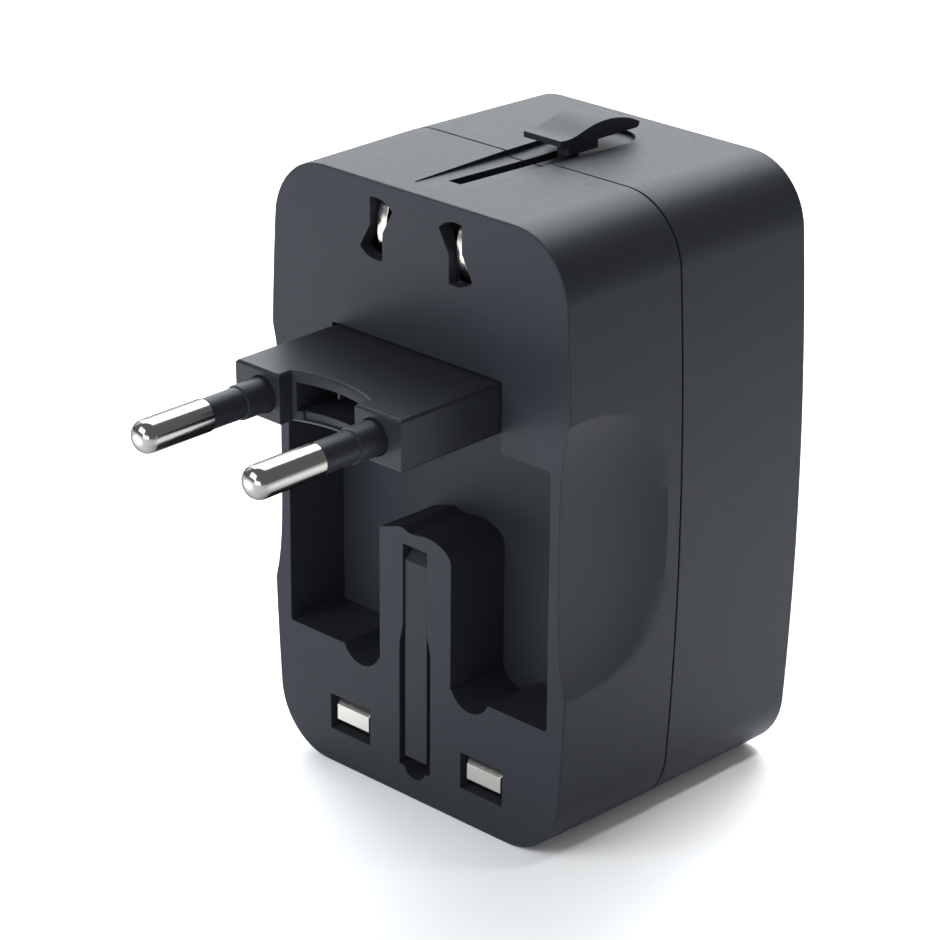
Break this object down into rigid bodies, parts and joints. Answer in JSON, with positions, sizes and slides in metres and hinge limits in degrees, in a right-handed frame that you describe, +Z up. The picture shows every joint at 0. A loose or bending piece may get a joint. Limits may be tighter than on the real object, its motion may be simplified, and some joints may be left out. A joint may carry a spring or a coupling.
{
  "type": "universal travel adapter",
  "caption": "Pocket travel adapter block with folding and sliding mains plugs on the front and a universal mains socket on the back.",
  "frame": {"origin": "on the flat bottom face, on the middle plane, 4.5 mm behind the plug face", "axes": "+X to the neutral side, which is the right when the plug face is looked at; -Y out of the plug face, +Y out of the socket face; +Z up"},
  "size_m": [0.0496, 0.0746, 0.0799],
  "materials": {
    "casing_black": "fine spark-eroded texture",
    "pin_black": "satin moulded",
    "nylon": "natural nylon",
    "nickel": "satin nickel plate",
    "contact_brass": "rolled strip",
    "steel": "bright zinc",
    "fuse_ceramic": "glazed"
  },
  "bodies": {
    "casing": {"plug_side_shell": "casing_black", "socket_side_shell": "casing_black", "socket_face": "pin_black", "inner_frame": "nylon", "eu_hinge_axle": "steel", "earth_pin_axle": "steel", "fuse_barrel": "fuse_ceramic", "fuse_cap_right": "nickel", "fuse_cap_left": "nickel", "fuse_clip_right": "contact_brass", "fuse_clip_left": "contact_brass", "neutral_socket_contact": "contact_brass", "live_socket_contact": "contact_brass", "neutral_busbar": "contact_brass", "live_busbar": "contact_brass", "neutral_eu_wiper": "contact_brass", "live_eu_wiper": "contact_brass", "case_screw_lower_left": "steel", "case_screw_lower_right": "steel", "case_screw_upper_left": "steel", "case_screw_upper_right": "steel", "shutter_spring": "steel"},
    "shutter": {"safety_shutter": "nylon"},
    "eu_plug": {"eu_plug_body": "pin_black", "eu_pin_left": "nickel", "eu_pin_right": "nickel", "eu_pin_sleeve_left": "pin_black", "eu_pin_sleeve_right": "pin_black", "eu_strap_left": "contact_brass", "eu_strap_right": "contact_brass"},
    "us_plug": {"us_carriage": "nylon", "us_slider_button": "casing_black"},
    "us_blade_assembly_left": {"us_blade_left": "nickel", "us_rotor_left": "pin_black", "us_rotor_ring_left": "steel"},
    "us_blade_assembly_right": {"us_blade_right": "nickel", "us_rotor_right": "pin_black", "us_rotor_ring_right": "steel"},
    "uk_plug": {"uk_carriage": "nylon", "uk_slider_button": "casing_black", "uk_pin_neutral": "nickel", "uk_pin_live": "nickel", "uk_pin_sleeve_neutral": "pin_black", "uk_pin_sleeve_live": "pin_black"},
    "earth_pin": {"uk_earth_pin": "pin_black"}
  },
  "joints": [
    {"name": "eu_plug_fold", "type": "hinge", "parent": "casing", "child": "eu_plug", "pos_m": [0, 0.0008, 0.0545], "axis": [1, 0, 0], "range_deg": [0, 89]},
    {"name": "us_slide", "type": "slide", "parent": "casing", "child": "us_plug", "axis": [0, -1, 0], "range_m": [0, 0.0175]},
    {"name": "us_blade_twist_left", "type": "hinge", "parent": "us_plug", "child": "us_blade_assembly_left", "pos_m": [-0.00635, 0, 0.0709], "axis": [0, 1, 0], "range_deg": [0, 30]},
    {"name": "us_blade_twist_right", "type": "hinge", "parent": "us_plug", "child": "us_blade_assembly_right", "pos_m": [0.00635, 0, 0.0709], "axis": [0, -1, 0], "range_deg": [0, 30]},
    {"name": "uk_slide", "type": "slide", "parent": "casing", "child": "uk_plug", "axis": [0, -1, 0], "range_m": [0, 0.0175]},
    {"name": "uk_earth_pin_fold", "type": "hinge", "parent": "casing", "child": "earth_pin", "pos_m": [0, 0.00015, 0.0286], "axis": [-1, 0, 0], "range_deg": [0, 90]},
    {"name": "shutter_slide", "type": "slide", "parent": "casing", "child": "shutter", "axis": [0, 0, -1], "range_m": [0, 0.008], "stiffness_N_per_m": 60, "springref_m": -0.004, "deforming": ["shutter_spring"]}
  ]
}
